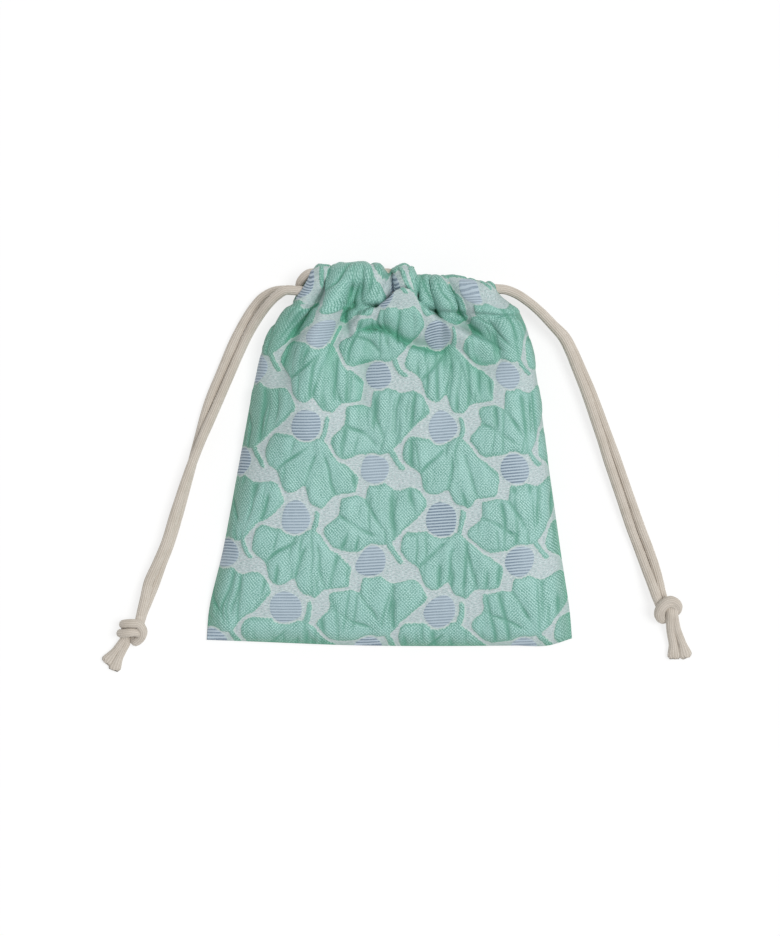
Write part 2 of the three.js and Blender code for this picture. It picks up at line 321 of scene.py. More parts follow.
def ginkgo_leaf(x, y, turn):
    """Distances inside a leaf's edge and from its nearest vein, which fades out near the stalk."""
    along = x * np.sin(turn) - y * np.cos(turn) + 0.52 * LEAF_LENGTH
    aside = x * np.cos(turn) + y * np.sin(turn) + 0.0042 * along**2
    out = np.hypot(along, aside)
    angle = np.arctan2(aside, along)
    notches = 1.7 * np.cos(2 * np.pi * angle / LOBE_ANGLE) + 3.0 * np.exp(-((angle / 0.1) ** 2))
    to_edge = LEAF_LENGTH - notches - out
    to_side = out * np.sin(np.clip(2 * LOBE_ANGLE + 0.04 - np.abs(angle), -1.5, 1.5))
    nearer = np.minimum(to_edge, to_side)
    past_corner = np.hypot(np.maximum(LEAF_CORNER - to_edge, 0), np.maximum(LEAF_CORNER - to_side, 0))
    inside = np.where(nearer < LEAF_CORNER, LEAF_CORNER - past_corner, nearer)
    stalk = 1.3 - np.hypot(np.maximum(np.abs(along + 3.5) - 5, 0), aside - 0.03 * along**2)
    vein = out * np.abs(np.mod(angle + LOBE_ANGLE / 2, LOBE_ANGLE) - LOBE_ANGLE / 2)
    vein = vein + 0.3 * np.maximum(10 - out, 0)
    return np.maximum(inside, stalk), vein


def upright_creases(u, v, spacing, half_width, seed):
    """Wavering upright creases that start and break off here and there."""
    waver = 0.5 * soft_noise(u / (3 * spacing), v / 24, seed) + 0.3 * soft_noise(u / 40, v / 40, seed + 1)
    line = u / spacing + waver
    nearest = np.round(line)
    present = smoothstep(-0.1, 0.5, soft_noise(nearest * 5.37, v / 15, seed + 2))
    width = half_width * (0.35 + 0.65 * present)
    return present * np.exp(-(((line - nearest) * spacing / width) ** 2))


def leaf_cloth(u, v):
    """Woven picture and puffs for places on the cloth. leaf and nut are above zero inside."""
    u = u + 1.2 * soft_noise(u / 9, v / 9, 3)
    v = v + 1.2 * soft_noise(u / 9, v / 9, 4)
    leaf = np.full(u.shape, -50.0)
    next_leaf = leaf.copy()
    vein = np.zeros(u.shape)
    home = np.round((u - FIRST_LEAF[0]) / COLUMN_WIDTH)
    for column in (home - 1, home, home + 1):
        second = np.mod(column, 2)
        x = u - FIRST_LEAF[0] - column * COLUMN_WIDTH
        drop = FIRST_LEAF[1] + second * REPEAT_HEIGHT / 2
        turn = np.radians(np.where(second == 0, *LEAF_TURN))
        home_row = np.round((v - drop) / REPEAT_HEIGHT)
        for row in (home_row - 1, home_row, home_row + 1):
            inside, from_vein = ginkgo_leaf(x, v - drop - row * REPEAT_HEIGHT, turn)
            next_leaf = np.maximum(np.minimum(leaf, inside), next_leaf)
            vein = np.where(inside > leaf, from_vein, vein)
            leaf = np.maximum(leaf, inside)
    nut = np.full(u.shape, -50.0)
    for nut_u, nut_v, radius in NUTS:
        x = np.mod(u - nut_u + COLUMN_WIDTH, 2 * COLUMN_WIDTH) - COLUMN_WIDTH
        y = np.mod(v - nut_v + REPEAT_HEIGHT / 2, REPEAT_HEIGHT) - REPEAT_HEIGHT / 2
        nut = np.maximum(nut, radius - np.hypot(x, y))
    leaf = np.minimum(np.minimum(leaf, (leaf - next_leaf) / 2 - PALE_GAP), -nut - PALE_GAP)
    from_rim = np.clip(np.minimum(leaf, 0.8 * vein + 0.9) / 4.2, 0, 1)
    puff = np.sqrt(1 - (1 - from_rim) ** 2)
    crease = np.maximum(upright_creases(u, v, 6.2, 1.05, 31), 0.7 * upright_creases(u, v, 4.3, 0.55, 35))
    vein_line = np.exp(-((vein / 0.7) ** 2)) * (0.6 + 0.4 * soft_noise(u / 5, v / 5, 41))
    crease = np.maximum(0.85 * crease, vein_line) * smoothstep(0.1, 1.6, leaf)
    rise = 1.05 * puff + 0.3 * smoothstep(-0.6, 0.8, nut) - 0.7 * crease
    rise = rise + 0.4 * puff * soft_noise(u / 4.2, v / 10, 18) + 0.1 * soft_noise(u / 2.6, v / 3.4, 14)
    return {"leaf": leaf, "nut": nut, "crease": crease, "puff": puff}, rise


FLAT_EDGE = 3.0  # the puffs die away this near to a seam


def from_sides(u):
    return np.minimum(u, CLOTH_WIDTH - u)


def turned_down_shade(u, from_end, flank):
    """Painted shade, from 0 to 1, where the cloth turns down out of the light near its sides and one end.
    """
    left = smoothstep(10 + 22 * flank, 2, u)
    right = smoothstep(9, 2, CLOTH_WIDTH - u)
    return np.maximum(np.maximum(left, 0.8 * right), 0.7 * smoothstep(9, 1, from_end))


def soften(heights, reach):
    """Heights evened out over a square of so many grid steps each way, three times over."""
    for axis in (0, 1, 0, 1, 0, 1):
        padding = [(reach, reach) if i == axis else (0, 0) for i in (0, 1)]
        sums = np.cumsum(np.pad(heights, padding, mode="edge"), axis=axis)
        sums = np.insert(sums, 0, 0, axis=axis)
        size = 2 * reach + 1
        high = np.take(sums, range(size, sums.shape[axis]), axis=axis)
        low = np.take(sums, range(0, sums.shape[axis] - size), axis=axis)
        heights = (high - low) / size
    return heights


HOLLOW_DEPTH = 1.6


def hollows(place, reach):
    """How deep each place lies below the cloth round it, from 0 to 1: the depth of its painted shade."""
    return np.clip((soften(place[..., 2], reach) - place[..., 2]) / HOLLOW_DEPTH, 0, 1)


def surface_normals(place):
    down = np.gradient(place, axis=0)
    along = np.gradient(place, axis=1)
    normal = np.cross(down, along)
    return normal / np.maximum(np.linalg.norm(normal, axis=-1, keepdims=True), 1e-9)


def seen_size(place):
    """Draws what lies nearer the camera in by its perspective, so it is seen where it was laid."""
    shrink = 1 - place[..., 2:] / CAMERA_HEIGHT
    flat = VIEW_MIDDLE + (place[..., :2] - VIEW_MIDDLE) * shrink
    return np.concatenate([flat, place[..., 2:]], axis=-1)


def make_mesh(name, place, uv, weave, material, closed_round=False):
    """Makes a grid of places into a smooth object, with its cloth places and weave on the points."""
    rows, columns = place.shape[:2]
    index = np.arange(rows * columns).reshape(rows, columns)
    if closed_round:
        index = np.concatenate([index, index[:, :1]], axis=1)
    corners = [index[:-1, :-1], index[:-1, 1:], index[1:, 1:], index[1:, :-1]]
    faces = np.stack(corners, axis=-1).reshape(-1, 4)
    mesh = bpy.data.meshes.new(name)
    mesh.from_pydata((place.reshape(-1, 3) * MM).tolist(), [], faces.tolist())
    mesh.shade_smooth()
    uv_loops = uv.reshape(-1, 2)[faces.ravel()]
    layer = mesh.uv_layers.new(name="cloth")
    layer.data.foreach_set("uv", uv_loops.astype(np.float32).ravel())
    for key, values in weave.items():
        attribute = mesh.attributes.new(key, "FLOAT", "POINT")
        attribute.data.foreach_set("value", values.astype(np.float32).ravel())
    mesh.materials.append(material)
    piece = bpy.data.objects.new(name, mesh)
    bpy.context.scene.collection.objects.link(piece)
    return piece


class Thread:
    """A value in a material. Sums on it add Math nodes, and node() adds any other kind."""

    def __init__(self, tree, socket=None):
        self.tree = tree
        self.socket = socket

    def node(self, kind, settings=None, sockets=None, output=0):
        made = self.tree.nodes.new(kind)
        for key, value in (settings or {}).items():
            setattr(made, key, value)
        for key, value in (sockets or {}).items():
            if isinstance(value, Thread):
                self.tree.links.new(value.socket, made.inputs[key])
            else:
                made.inputs[key].default_value = value
        return Thread(self.tree, made.outputs[output] if made.outputs else None)

    def math(self, operation, *values):
        return self.node("ShaderNodeMath", {"operation": operation}, dict(enumerate(values)))

    def __add__(self, other):
        return self.math("ADD", self, other)

    def __sub__(self, other):
        return self.math("SUBTRACT", self, other)

    def __rsub__(self, other):
        return self.math("SUBTRACT", other, self)

    def __mul__(self, other):
        return self.math("MULTIPLY", self, other)

    __radd__ = __add__
    __rmul__ = __mul__

    def sine(self):
        return self.math("SINE", self)

    def step(self, low, high, top=1.0):
        sockets = {0: self, 1: low, 2: high, 3: 0.0, 4: top}
        return self.node("ShaderNodeMapRange", {"interpolation_type": "SMOOTHSTEP"}, sockets)

    def blend(self, first, second):
        sockets = {0: self, 6: first, 7: second}
        return self.node("ShaderNodeMix", {"data_type": "RGBA"}, sockets, output=2)


def dye(red, green, blue):
    """A colour as it is seen, from 0 to 255, made linear."""
    seen = np.array([red, green, blue]) / 255
    linear = np.where(seen < 0.04045, seen / 12.92, ((seen + 0.055) / 1.055) ** 2.4)
    return (*linear.tolist(), 1.0)


def new_material(name):
    material = bpy.data.materials.new(name)
    material.use_nodes = True
    material.node_tree.nodes.clear()
    return material, Thread(material.node_tree)


def places_on(start):
    """The two measures over a piece's surface, which its mesh keeps as its UV map."""
    place = start.node("ShaderNodeUVMap", {"uv_map": "cloth"})
    return [start.node("ShaderNodeSeparateXYZ", None, {0: place}, output=i) for i in (0, 1)]


def kept_value(start, name):
    """A value that the mesh keeps on its points."""
    return start.node("ShaderNodeAttribute", {"attribute_name": name}, output=2)


def speckles(u, v, scale, detail):
    place = u.node("ShaderNodeCombineXYZ", None, {0: u, 1: v})
    return u.node("ShaderNodeTexNoise", None, {"Vector": place, "Scale": scale, "Detail": detail})


def finish_material(start, sockets):
    surface = start.node("ShaderNodeBsdfPrincipled", None, sockets)
    start.node("ShaderNodeOutputMaterial", None, {0: surface})


HATCH_WIDTH = 1.5  # from one slanting line of the leaf weave to the next
RIB_WIDTH = 1.3  # from one rib of a nut to the next


def weave_material():
    material, start = new_material("puffed_leaf_cloth")
    u, v = places_on(start)

    def speckle(scale, stretch, detail=2.0):
        return speckles(u * stretch, v, scale, detail)

    nut, crease, puff, hollow_shade = [kept_value(start, name) for name in ("nut", "crease", "puff", "hollow_shade")]
    # Painted shade where the cloth turns down out of the light.
    turned = kept_value(start, "turned") * 0.75
    leaf = kept_value(start, "leaf") + (speckle(1.1, 1.0, 3.0) - 0.5) * 1.7

    waver = speckle(0.5, 1.0) * 0.9
    falling = ((u - v + waver) * (2 * np.pi / HATCH_WIDTH)).sine()
    rising = ((u + v - waver) * (2 * np.pi / HATCH_WIDTH)).sine()
    facing = speckle(0.1, 1.0).step(0.38, 0.62)
    grain = speckle(2.0, 1.0, 3.0)
    hatch = falling * (facing * 0.3 + 0.2) + rising * (0.3 - facing * 0.15) + falling * rising * 0.35
    cloud = speckle(0.09, 1.6).step(0.35, 0.65)
    hatch = (hatch + (grain - 0.5) * 3.6) * (1.15 - cloud * 0.4)
    # Painted shade in the mint: a deeper green in the hollows and near the mouth, and towards the rims of
    # the puffs.
    shade = hollow_shade * 0.8
    rim_shade = puff.step(0.9, 0.2) * 0.55
    dark_mint = cloud.blend(dye(82, 144, 130), dye(100, 157, 146))
    dark_mint = rim_shade.blend(dark_mint, dye(74, 136, 116))
    # Painted shade, darker and greyer, where the cloth turns down out of the light, in both hatch colours.
    dark_mint = turned.blend(dark_mint, dye(70, 118, 100))
    dark_mint = shade.blend(dark_mint, dye(50, 136, 104))
    light_mint = rim_shade.blend(dye(181, 221, 215), dye(134, 186, 170))
    light_mint = turned.blend(light_mint, dye(136, 180, 164))
    light_mint = shade.blend(light_mint, dye(98, 182, 152))
    mint = hatch.step(-0.9, 0.9).blend(dark_mint, light_mint)
    # Painted shade: along the creases and the veins between the lobes the mint goes a deep green.
    mint = (crease * 0.85).blend(mint, dye(66, 140, 116))

    threads = speckle(2.4, 0.3) * 0.5 + speckle(2.4, 3.0) * 0.5
    ground = threads.step(0.38, 0.62).blend(dye(146, 169, 170), dye(209, 223, 224))
    ground = (speckle(1.6, 1.0).step(0.5, 0.66) * 0.5).blend(ground, dye(208, 201, 208))
    # Painted shade on the pale ground: greener in the hollows.
    ground = (hollow_shade * 0.6).blend(ground, dye(130, 172, 158))
    # Painted shade on the ground where the cloth turns down out of the light.
    ground = (turned * 0.4).blend(ground, dye(156, 174, 170))

    ribs = ((v + u * 0.06) * (2 * np.pi / RIB_WIDTH)).sine()
    strong = speckle(0.018, 1.0).step(0.4, 0.6, 0.4) + 0.6
    lavender = (ribs.step(-0.45, 0.5) * strong).blend(dye(180, 197, 208), dye(104, 124, 142))
    lavender = (grain.step(0.5, 0.7) * 0.35).blend(lavender, dye(208, 220, 228))

    rim = leaf.step(-0.55, -0.2) * leaf.step(0.3, 0.05)
    colour = leaf.step(-0.12, 0.12).blend(ground, mint)
    colour = (rim * (speckle(0.35, 1.0).step(0.35, 0.65, 0.6) + 0.2)).blend(colour, dye(196, 211, 207))
    colour = nut.step(-0.1, 0.1).blend(colour, lavender)

    on_leaf = leaf.step(-0.1, 0.3)
    height = hatch * on_leaf * 0.5 + ribs * nut.step(-0.1, 0.3) + threads * 0.8
    bump = start.node("ShaderNodeBump", None, {"Strength": 0.55, "Distance": 0.00012, "Height": height})
    shine = threads.step(0.3, 0.7, 0.14) + 0.56 - on_leaf * 0.1
    sockets = {
        "Base Color": colour,
        "Roughness": shine,
        "Normal": bump,
        "Specular IOR Level": 0.5,
        "Sheen Weight": 0.12,
    }
    finish_material(start, sockets)
    return material


puffed_cloth = weave_material()
GATHERED_SHADE = 0.2  # near the mouth the gathers shade each other

across, below, front_place = lay_panel(290, 280, front_row)
push_up_tent(front_place, below)
press_folds(front_place)
cloth_u, cloth_v = np.meshgrid(across, below)
front_place[..., 2] += 0.5 * soft_noise(cloth_u / 26, cloth_v / 34, 21) * smoothstep(0, 30, cloth_v)
steps = np.linalg.norm(np.diff(front_place, axis=0), axis=-1)
from_bottom = np.concatenate([np.cumsum(steps[::-1], axis=0)[::-1], np.zeros((1, len(across)))])
woven_v = below[-1] - soften(from_bottom, 3)
front_weave, front_rise = leaf_cloth(cloth_u, woven_v)
to_edge = np.minimum(from_sides(cloth_u), np.minimum(cloth_v, below[-1] - cloth_v))
flat_at_seams = smoothstep(0, FLAT_EDGE, to_edge)
hollow_shade = hollows(front_place, 8)
panel_across = across
panel_seam = front_place[0].copy()
press_seam(front_place, cloth_v)
front_place += surface_normals(front_place) * (front_rise * flat_at_seams)[..., None]
# Painted shade: the cloth is coloured a deeper green in its hollows and, more faintly, near the mouth.
front_weave["hollow_shade"] = np.minimum(hollow_shade + GATHERED_SHADE * smoothstep(60, 5, cloth_v), 1)
# Painted shade where the cloth turns down out of the light near its sides and bottom, wider down the left
# flank.
flank = smoothstep(105, 45, cloth_v) * (0.4 + 0.6 * smoothstep(8, 28, cloth_v))
front_weave["turned"] = turned_down_shade(cloth_u, below[-1] - cloth_v, flank)


def turn_in(grid):
    """Adds a narrow lip at the sides and the bottom, and turns the rows so that the cloth faces up."""
    return np.pad(grid, ((0, 1), (1, 1)) + ((0, 0),) * (grid.ndim - 2), mode="edge")[::-1]


def stand_in(piece, kind, *nodes):
    """Fixes a piece to the pouch in the place of one or more of the frame's nodes."""
    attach(piece, "root")
    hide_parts(*nodes)


LIP_WIDTH = 0.5
LIP_DROP = 0.8
TABLE_GAP = 0.05

front_place = turn_in(front_place)
front_place[:, 0] += (LIP_WIDTH, 0, -LIP_DROP)
front_place[:, -1] += (-LIP_WIDTH, 0, -LIP_DROP)
front_place[0] += (0, LIP_WIDTH, -LIP_DROP)
front_place[..., 2] = np.maximum(front_place[..., 2], 2 * TABLE_GAP)
front_weave = {key: turn_in(values) for key, values in front_weave.items()}
front_uv = turn_in(np.stack([cloth_u, woven_v], axis=-1))
front_panel = make_mesh("front_panel_cloth", seen_size(front_place), front_uv, front_weave, puffed_cloth)
stand_in(front_panel, "cloth", "front_panel")

# The back panel.
# The same cut of cloth, lying flat on the table in the middle and up to the seams at the sides.
# Its puffs are pressed flat by the table, and a short slit is left open at each side of the mouth.

SLIT_LENGTH = 14.0


def back_row(across, below, level, left, right):
    side = across / CLOTH_WIDTH * 2 - 1
    inset = 0.4 + 2.4 * smoothstep(SLIT_LENGTH, 0, below)
    x = left + inset + (right - left - 2 * inset) * across / CLOTH_WIDTH
    edge = (through(SIDE_HEIGHT, level) - 0.7) * smoothstep(0, SLIT_LENGTH, below)
    rise = edge * np.clip((np.abs(side) - 0.72) / 0.28, 0, 1) ** 2
    gather = 2.2 * np.exp(-below / 22) * (1 + np.sin(across * 0.62 + 1.1 * np.sin(across * 0.11)))
    return x, 0.3 + rise + gather * (1 - side**6)


BACK_CUT = (61, 17)  # where on the woven picture the back panel was cut

across, below, back_place = lay_panel(180, 170, back_row)
cloth_u, cloth_v = np.meshgrid(across, below)
back_uv = np.stack([cloth_u, cloth_v], axis=-1) + BACK_CUT
back_weave, back_rise = leaf_cloth(back_uv[..., 0], back_uv[..., 1])
flat_at_seams = smoothstep(0, FLAT_EDGE, np.minimum(from_sides(cloth_u), below[-1] - cloth_v))
back_place -= surface_normals(back_place) * (back_rise * flat_at_seams)[..., None]
back_place[..., 2] = np.maximum(back_place[..., 2], TABLE_GAP + 0.1 * back_weave["crease"])
back_place[..., 1] += 0.5 * smoothstep(120, 156, cloth_v)
back_weave["hollow_shade"] = back_weave["turned"] = back_rise * 0
back_panel = make_mesh("back_panel_cloth", seen_size(back_place), back_uv, back_weave, puffed_cloth)
stand_in(back_panel, "cloth", "back_panel")

# The two casings.
# Each is a band of the same cloth folded in two along the mouth and sewn to a panel's top.
# The cords draw it into rounded gathers that bulge over the mouth.

CASING_HEIGHT = 20.0
# The front casing's two ends: the share of the way from the seam to the mouth, and x.
CASING_LEFT = [(0, -41.2), (1, -31.4)]
CASING_RIGHT = [(0, 57.4), (0.2, 55.9), (0.35, 53.4), (0.5, 50.3), (0.65, 47.8), (0.8, 46.5), (1, 46.2)]
MOUTH_EDGE = [
    (-34.5, 80.8),
    (-31.0, 83.1),
    (-26.1, 82.2),
    (-21.7, 83.4),
    (-10.7, 83.9),
    (-4.2, 82.6),
    (-0.9, 78.6),
    (2.0, 81.0),
    (6.4, 83.0),
    (9.9, 81.6),
    (11.6, 78.2),
    (16.0, 78.4),
    (18.6, 77.6),
    (22.1, 78.4),
    (24.3, 77.8),
    (27.4, 77.9),
    (35.3, 76.6),
    (44.1, 74.8),
    (47.5, 72.8),
]


def lay_casing(columns, rows, outer_row, inner_height, inner_share, drawn_in):
    """Lays a casing from its seam up the outer face, over the mouth edge and down inside."""
    across = np.linspace(0, CLOTH_WIDTH, columns)
    along = np.linspace(0, 2, rows)
    place = np.zeros((rows, columns, 3))
    for i, share in enumerate(along):
        up = min(share, 2 - share)
        left = through(CASING_LEFT, up) + drawn_in
        right = through(CASING_RIGHT, up) - drawn_in
        x, outer = outer_row(across, up, left, right)
        inner = inner_height - inner_share * (outer - outer.mean())
        seam = seam_line(x)
        top = np.interp(x, *np.array(MOUTH_EDGE).T) - drawn_in
        curl = np.clip(np.abs(outer - inner) / 2, 1.5, 5.0)
        turn = np.pi / 2 * smoothstep(0.55, 1, up) ** 0.8
        y = seam + (top - seam - curl) * np.clip(up / 0.7, 0, 1) + curl * np.sin(turn)
        half = (outer - inner) / 2 * np.cos(turn)
        place[i, :, 0] = x
        place[i, :, 1] = y
        place[i, :, 2] = (outer + inner) / 2 + np.where(share <= 1, half, -half)
    return across, along, place


def front_casing_row(across, up, left, right):
    at_mouth = smoothstep(0.2, 0.9, up)
    x, z = front_row(across, 0.0, SEAM_LEVEL, left, right, at_mouth)
    pressed = seam_shows(x)
    plump = pressed * (1.4 * np.sin(np.pi * up) + 0.6 * smoothstep(0, 0.2, up))
    return x, z + plump + (1 - pressed) * 1.3 * np.sin(np.pi * up) ** 2


BACK_GATHERS = [(13, 128, 1), (11, 136, 1), (14, 124, 1), (12, 132, 1)] * 4
BACK_EDGE_HEIGHT = 4.2


def back_casing_row(across, up, left, right):
    slope = gather_slopes(across, 0.0, BACK_GATHERS)
    return lay_across(across, -slope, left, right, BACK_EDGE_HEIGHT)


def finish_casing(node, place, across, along, start_u, start_v):
    cloth_u, cloth_v = np.meshgrid(across, along * CASING_HEIGHT)
    woven_u = cloth_u + start_u
    woven_v = start_v - cloth_v
    weave, rise = leaf_cloth(woven_u, woven_v)
    ends = smoothstep(0, FLAT_EDGE, from_sides(cloth_u)) * smoothstep(0, FLAT_EDGE, cloth_v)
    # Painted shade: a deeper green in the casing's hollows and, more faintly, over all of its gathers.
    hollow_shade = hollows(place, 6) * (cloth_v < 17)
    weave["hollow_shade"] = np.minimum(hollow_shade + GATHERED_SHADE, 1)
    # Painted shade where the casing turns down out of the light, at its ends and along its fold at the
    # mouth.
    weave["turned"] = turned_down_shade(cloth_u, np.abs(CASING_HEIGHT - cloth_v), 0.4)
    press_seam(place, cloth_v)
    place -= surface_normals(place) * (rise * ends)[..., None]
    place[..., 2] = np.maximum(place[..., 2], TABLE_GAP)
    uv = np.stack([woven_u, woven_v], axis=-1)
    piece = make_mesh(f"{node}_cloth", seen_size(place), uv, weave, puffed_cloth)
    stand_in(piece, "cloth", node)


across, along, front_band = lay_casing(
    320, 90, front_casing_row, inner_height=12.0, inner_share=0.2, drawn_in=0.0
)
outer_face = front_band[: len(along) // 2]
press_folds(outer_face)
tuck_under_tent(outer_face)
# Its first row is sewn to the panel's top, point by point.
sewn_to = np.stack([np.interp(across, panel_across, panel_seam[:, i]) for i in range(3)], axis=-1)
front_band += (sewn_to - front_band[0]) * smoothstep(0.3, 0, along)[:, None, None]
seam_v = np.interp(across, panel_across, np.clip(woven_v[0], -3, 3))
finish_casing("front_casing", front_band, across, along, 0, seam_v)

across, along, back_band = lay_casing(
    260, 60, back_casing_row, inner_height=9.6, inner_share=0.9, drawn_in=1.8
)
finish_casing("back_casing", back_band, across, along, 90, 30)

# The cords.
# Two soft ivory cords with fine lengthwise ribs. Each runs round the mouth inside both casings and
# comes out at its own side as a pair of strands that lie on the table and end in a knot.

CORD_RADIUS = 2.0
CORD_RIBS = 13
STRAND_GAP = 0.15
EXIT = {"left": np.array([-38.41, 71.66]), "right": np.array([45.04, 72.72])}
OUTWARDS = {"left": -1, "right": 1}
EXIT_HEIGHT = {"front": 14.2, "back": 4.6}


def smooth_path(points, step):
    """Points at even steps along a smooth line through the given points."""
    points = np.array(points, dtype=float)
    places = np.concatenate([[0], np.cumsum(np.linalg.norm(np.diff(points, axis=0), axis=1))])
    fine = np.linspace(0, places[-1], 2000)
    line = np.stack([through(list(zip(places, points[:, i])), fine) for i in range(3)], axis=-1)
    lengths = np.concatenate([[0], np.cumsum(np.linalg.norm(np.diff(line, axis=0), axis=1))])
    even = np.linspace(0, lengths[-1], max(4, int(lengths[-1] / step)))
    return np.stack([np.interp(even, lengths, line[:, i]) for i in range(3)], axis=-1), lengths[-1]


def cord_frames(path):
    """Two directions across a path at each of its points, turned as little as they can be."""
    way = np.gradient(path, axis=0)
    way = way / np.linalg.norm(way, axis=1, keepdims=True)
    first = np.zeros_like(path)
    start = np.cross(way[0], [0, 0, 1.0])
    for i in range(len(path)):
        flat = start - way[i] * np.dot(start, way[i])
        start = flat / np.linalg.norm(flat)
        first[i] = start
    return first, np.cross(way, first)


def cord_mesh(name, path, radius, sides, seed, spread=0.0, ragged=0.0):
    """A ribbed cord along a path, closed at both ends. Its last end can be spread flat and frayed."""
    path = np.concatenate([path[:1], path, path[-1:]])
    aside, upwards = cord_frames(path[1:-1])
    aside = np.concatenate([aside[:1], aside, aside[-1:]])
    upwards = np.concatenate([upwards[:1], upwards, upwards[-1:]])
    angle = np.linspace(0, 2 * np.pi, sides, endpoint=False)[None, :]
    steps = np.linalg.norm(np.diff(path, axis=0), axis=1)
    along = np.concatenate([[0], np.cumsum(steps)])[:, None]
    swell = 1 + 0.035 * soft_noise(along / 9, along * 0 + 0.5, seed)
    swell[[0, -1]] = 0.02
    ribs = np.cos(CORD_RIBS * angle + along * 0.05)
    ring = radius * swell * (1 + 0.045 * ribs)
    ring = ring * (1 - 0.5 * spread * smoothstep(0.9, 0, along[-1] - along))
    x = (ring * np.cos(angle))[..., None] * aside[:, None, :]
    y = (ring * np.sin(angle))[..., None] * upwards[:, None, :]
    flare = spread * smoothstep(7, 0, along[-1] - along)[..., None]
    squeeze = np.concatenate([1 + flare, 1 + flare, 1 - 0.75 * flare], axis=-1)
    place = path[:, None, :] + (x + y) * squeeze
    way = np.cross(aside, upwards)[:, None, :]
    fray = np.random.default_rng(seed).uniform(-1, 0.6, sides)[None, :] * ragged
    place = place - way * (fray * smoothstep(2.2, 0, along[-1] - along))[..., None]
    uv = np.stack([np.broadcast_to(along, ring.shape), np.broadcast_to(angle, ring.shape)], axis=-1)
    groove = np.broadcast_to(0.5 - 0.5 * ribs, ring.shape)
    return make_mesh(name, place, uv, {"groove": groove}, ivory_cotton, closed_round=True)


def cotton_material():
    material, start = new_material("ivory_cotton_cord")
    along, around = places_on(start)
    groove = kept_value(start, "groove")
    fibre = speckles(along * 0.5, around * 2.0, 4.0, 3.0)
    patch = speckles(along * 0.08, around * 0.2, 2.0, 1.0)
    colour = fibre.step(0.3, 0.7).blend(dye(204, 195, 184), dye(228, 220, 210))
    colour = (patch.step(0.4, 0.7) * 0.35).blend(colour, dye(190, 180, 166))
    # Painted shade: the grooves between the ribs are darker.
    colour = (groove * 0.6).blend(colour, dye(162, 152, 137))
    height = fibre * 0.7 - groove * 0.6
    bump = start.node("ShaderNodeBump", None, {"Strength": 0.5, "Distance": 0.0002, "Height": height})
    sockets = {"Base Color": colour, "Roughness": 0.85, "Normal": bump, "Sheen Weight": 0.15}
    finish_material(start, sockets)
    return material


ivory_cotton = cotton_material()

# Inside the casings each cord runs along the front one, turns round the far end of the mouth in a
# loop that can be seen there, and comes back through the back one.
RUN_POINTS = {
    "left": [
        (-36.4, 70.5, 14.2),
        (-32.2, 71.2, 13.2),
        (-25, 70.8, 14.2),
        (-17, 70.2, 13.0),
        (-8, 69.8, 14.4),
        (0, 69.4, 15.2),
        (22, 67.8, 15.6),
        (40, 66.2, 15.2),
        (46.8, 65.4, 13.2),
        (49.0, 65.0, 10.2),
        (46.8, 65.0, 7.2),
        (40, 65.6, 6.2),
        (20, 66.8, 6.2),
        (0, 68.0, 6.2),
        (-18, 69.4, 6.2),
        (-27, 70.8, 5.6),
        (-32.5, 71.3, 4.8),
        (-37.0, 71.6, 4.6),
    ],
    "right": [
        (42.9, 71.7, 14.2),
        (39, 73.0, 14.3),
        (32, 73.2, 15.2),
        (22, 73.2, 15.4),
        (9, 75.4, 15.0),
        (-1, 78.4, 13.6),
        (-9, 77.4, 14.6),
        (-17, 76.6, 13.4),
        (-24, 77.0, 14.4),
        (-30, 78.0, 13.6),
        (-34.4, 78.2, 13.8),
        (-37.4, 76.2, 12.2),
        (-38.9, 73.6, 9.6),
        (-36.8, 72.8, 7.0),
        (-30, 73.6, 6.2),
        (-10, 72.6, 6.2),
        (15, 71.2, 6.2),
        (32, 71.6, 5.8),
        (39, 72.8, 4.8),
        (43.6, 72.8, 4.6),
    ],
}

for side, points in RUN_POINTS.items():
    path = smooth_path(points, 1.0)[0]
    run = cord_mesh(f"{side}_cord_in_casings", path, CORD_RADIUS, sides=28, seed=31)
    stand_in(run, "cord", f"{side}_cord_casing_run")

# A row of a pair's route: x and y from the exit, the pair's turn in degrees (0 is side by side and
# 90 has the front casing's strand on top), and the share of the casing's height that is left there.
PAIR_ROUTE = {
    "left": [
        (-7, 0.4, 90, 0.97),
        (-11.4, -1, 60, 0.84),
        (-15.8, -4.1, 28, 0.64),
        (-19.6, -8.6, 8, 0.4),
        (-23, -13.8, 0, 0.2),
        (-26.2, -19.6, 0, 0.07),
        (-29.2, -26, 0, 0.01),
        (-32.4, -33.6, 16, 0),
        (-38.9, -49, 26, 0),
        (-44.6, -64.8, 70, 0),
        (-49.7, -80.5, 98, 0),
        (-54.5, -96.3, 114, 0),
        (-59.4, -112.1, 116, 0),
        (-62.7, -120.2, 122, 0),
        (-65.9, -128.1, 134, 0),
        (-68.2, -135.2, 114, 0),
        (-70.2, -141.6, 100, 0),
        (-71.4, -146.4, 95, 0),
    ],
    "right": [
        (5.5, -0.4, 90, 0.97),
        (10.4, -2.2, 90, 0.86),
        (15.6, -5.6, 90, 0.68),
        (21, -10.2, 88, 0.46),
        (26.4, -15.8, 84, 0.25),
        (31.4, -21.2, 74, 0.1),
        (34.8, -27.6, 69, 0.03),
        (37.5, -34, 64, 0),
        (41.9, -44.6, 55, 0),
        (47.4, -59.8, 46, 0),
        (52.8, -75.5, 28, 0),
        (58.2, -91.3, 22, 0),
        (63.7, -107.1, 8, 0),
        (66.7, -114.9, 5, 0),
        (69.4, -122.5, 20, 0),
        (71.5, -129, 40, 0),
        (72.8, -133.6, 52, 0),
        (74.4, -138.2, 60, 0),
    ],
}


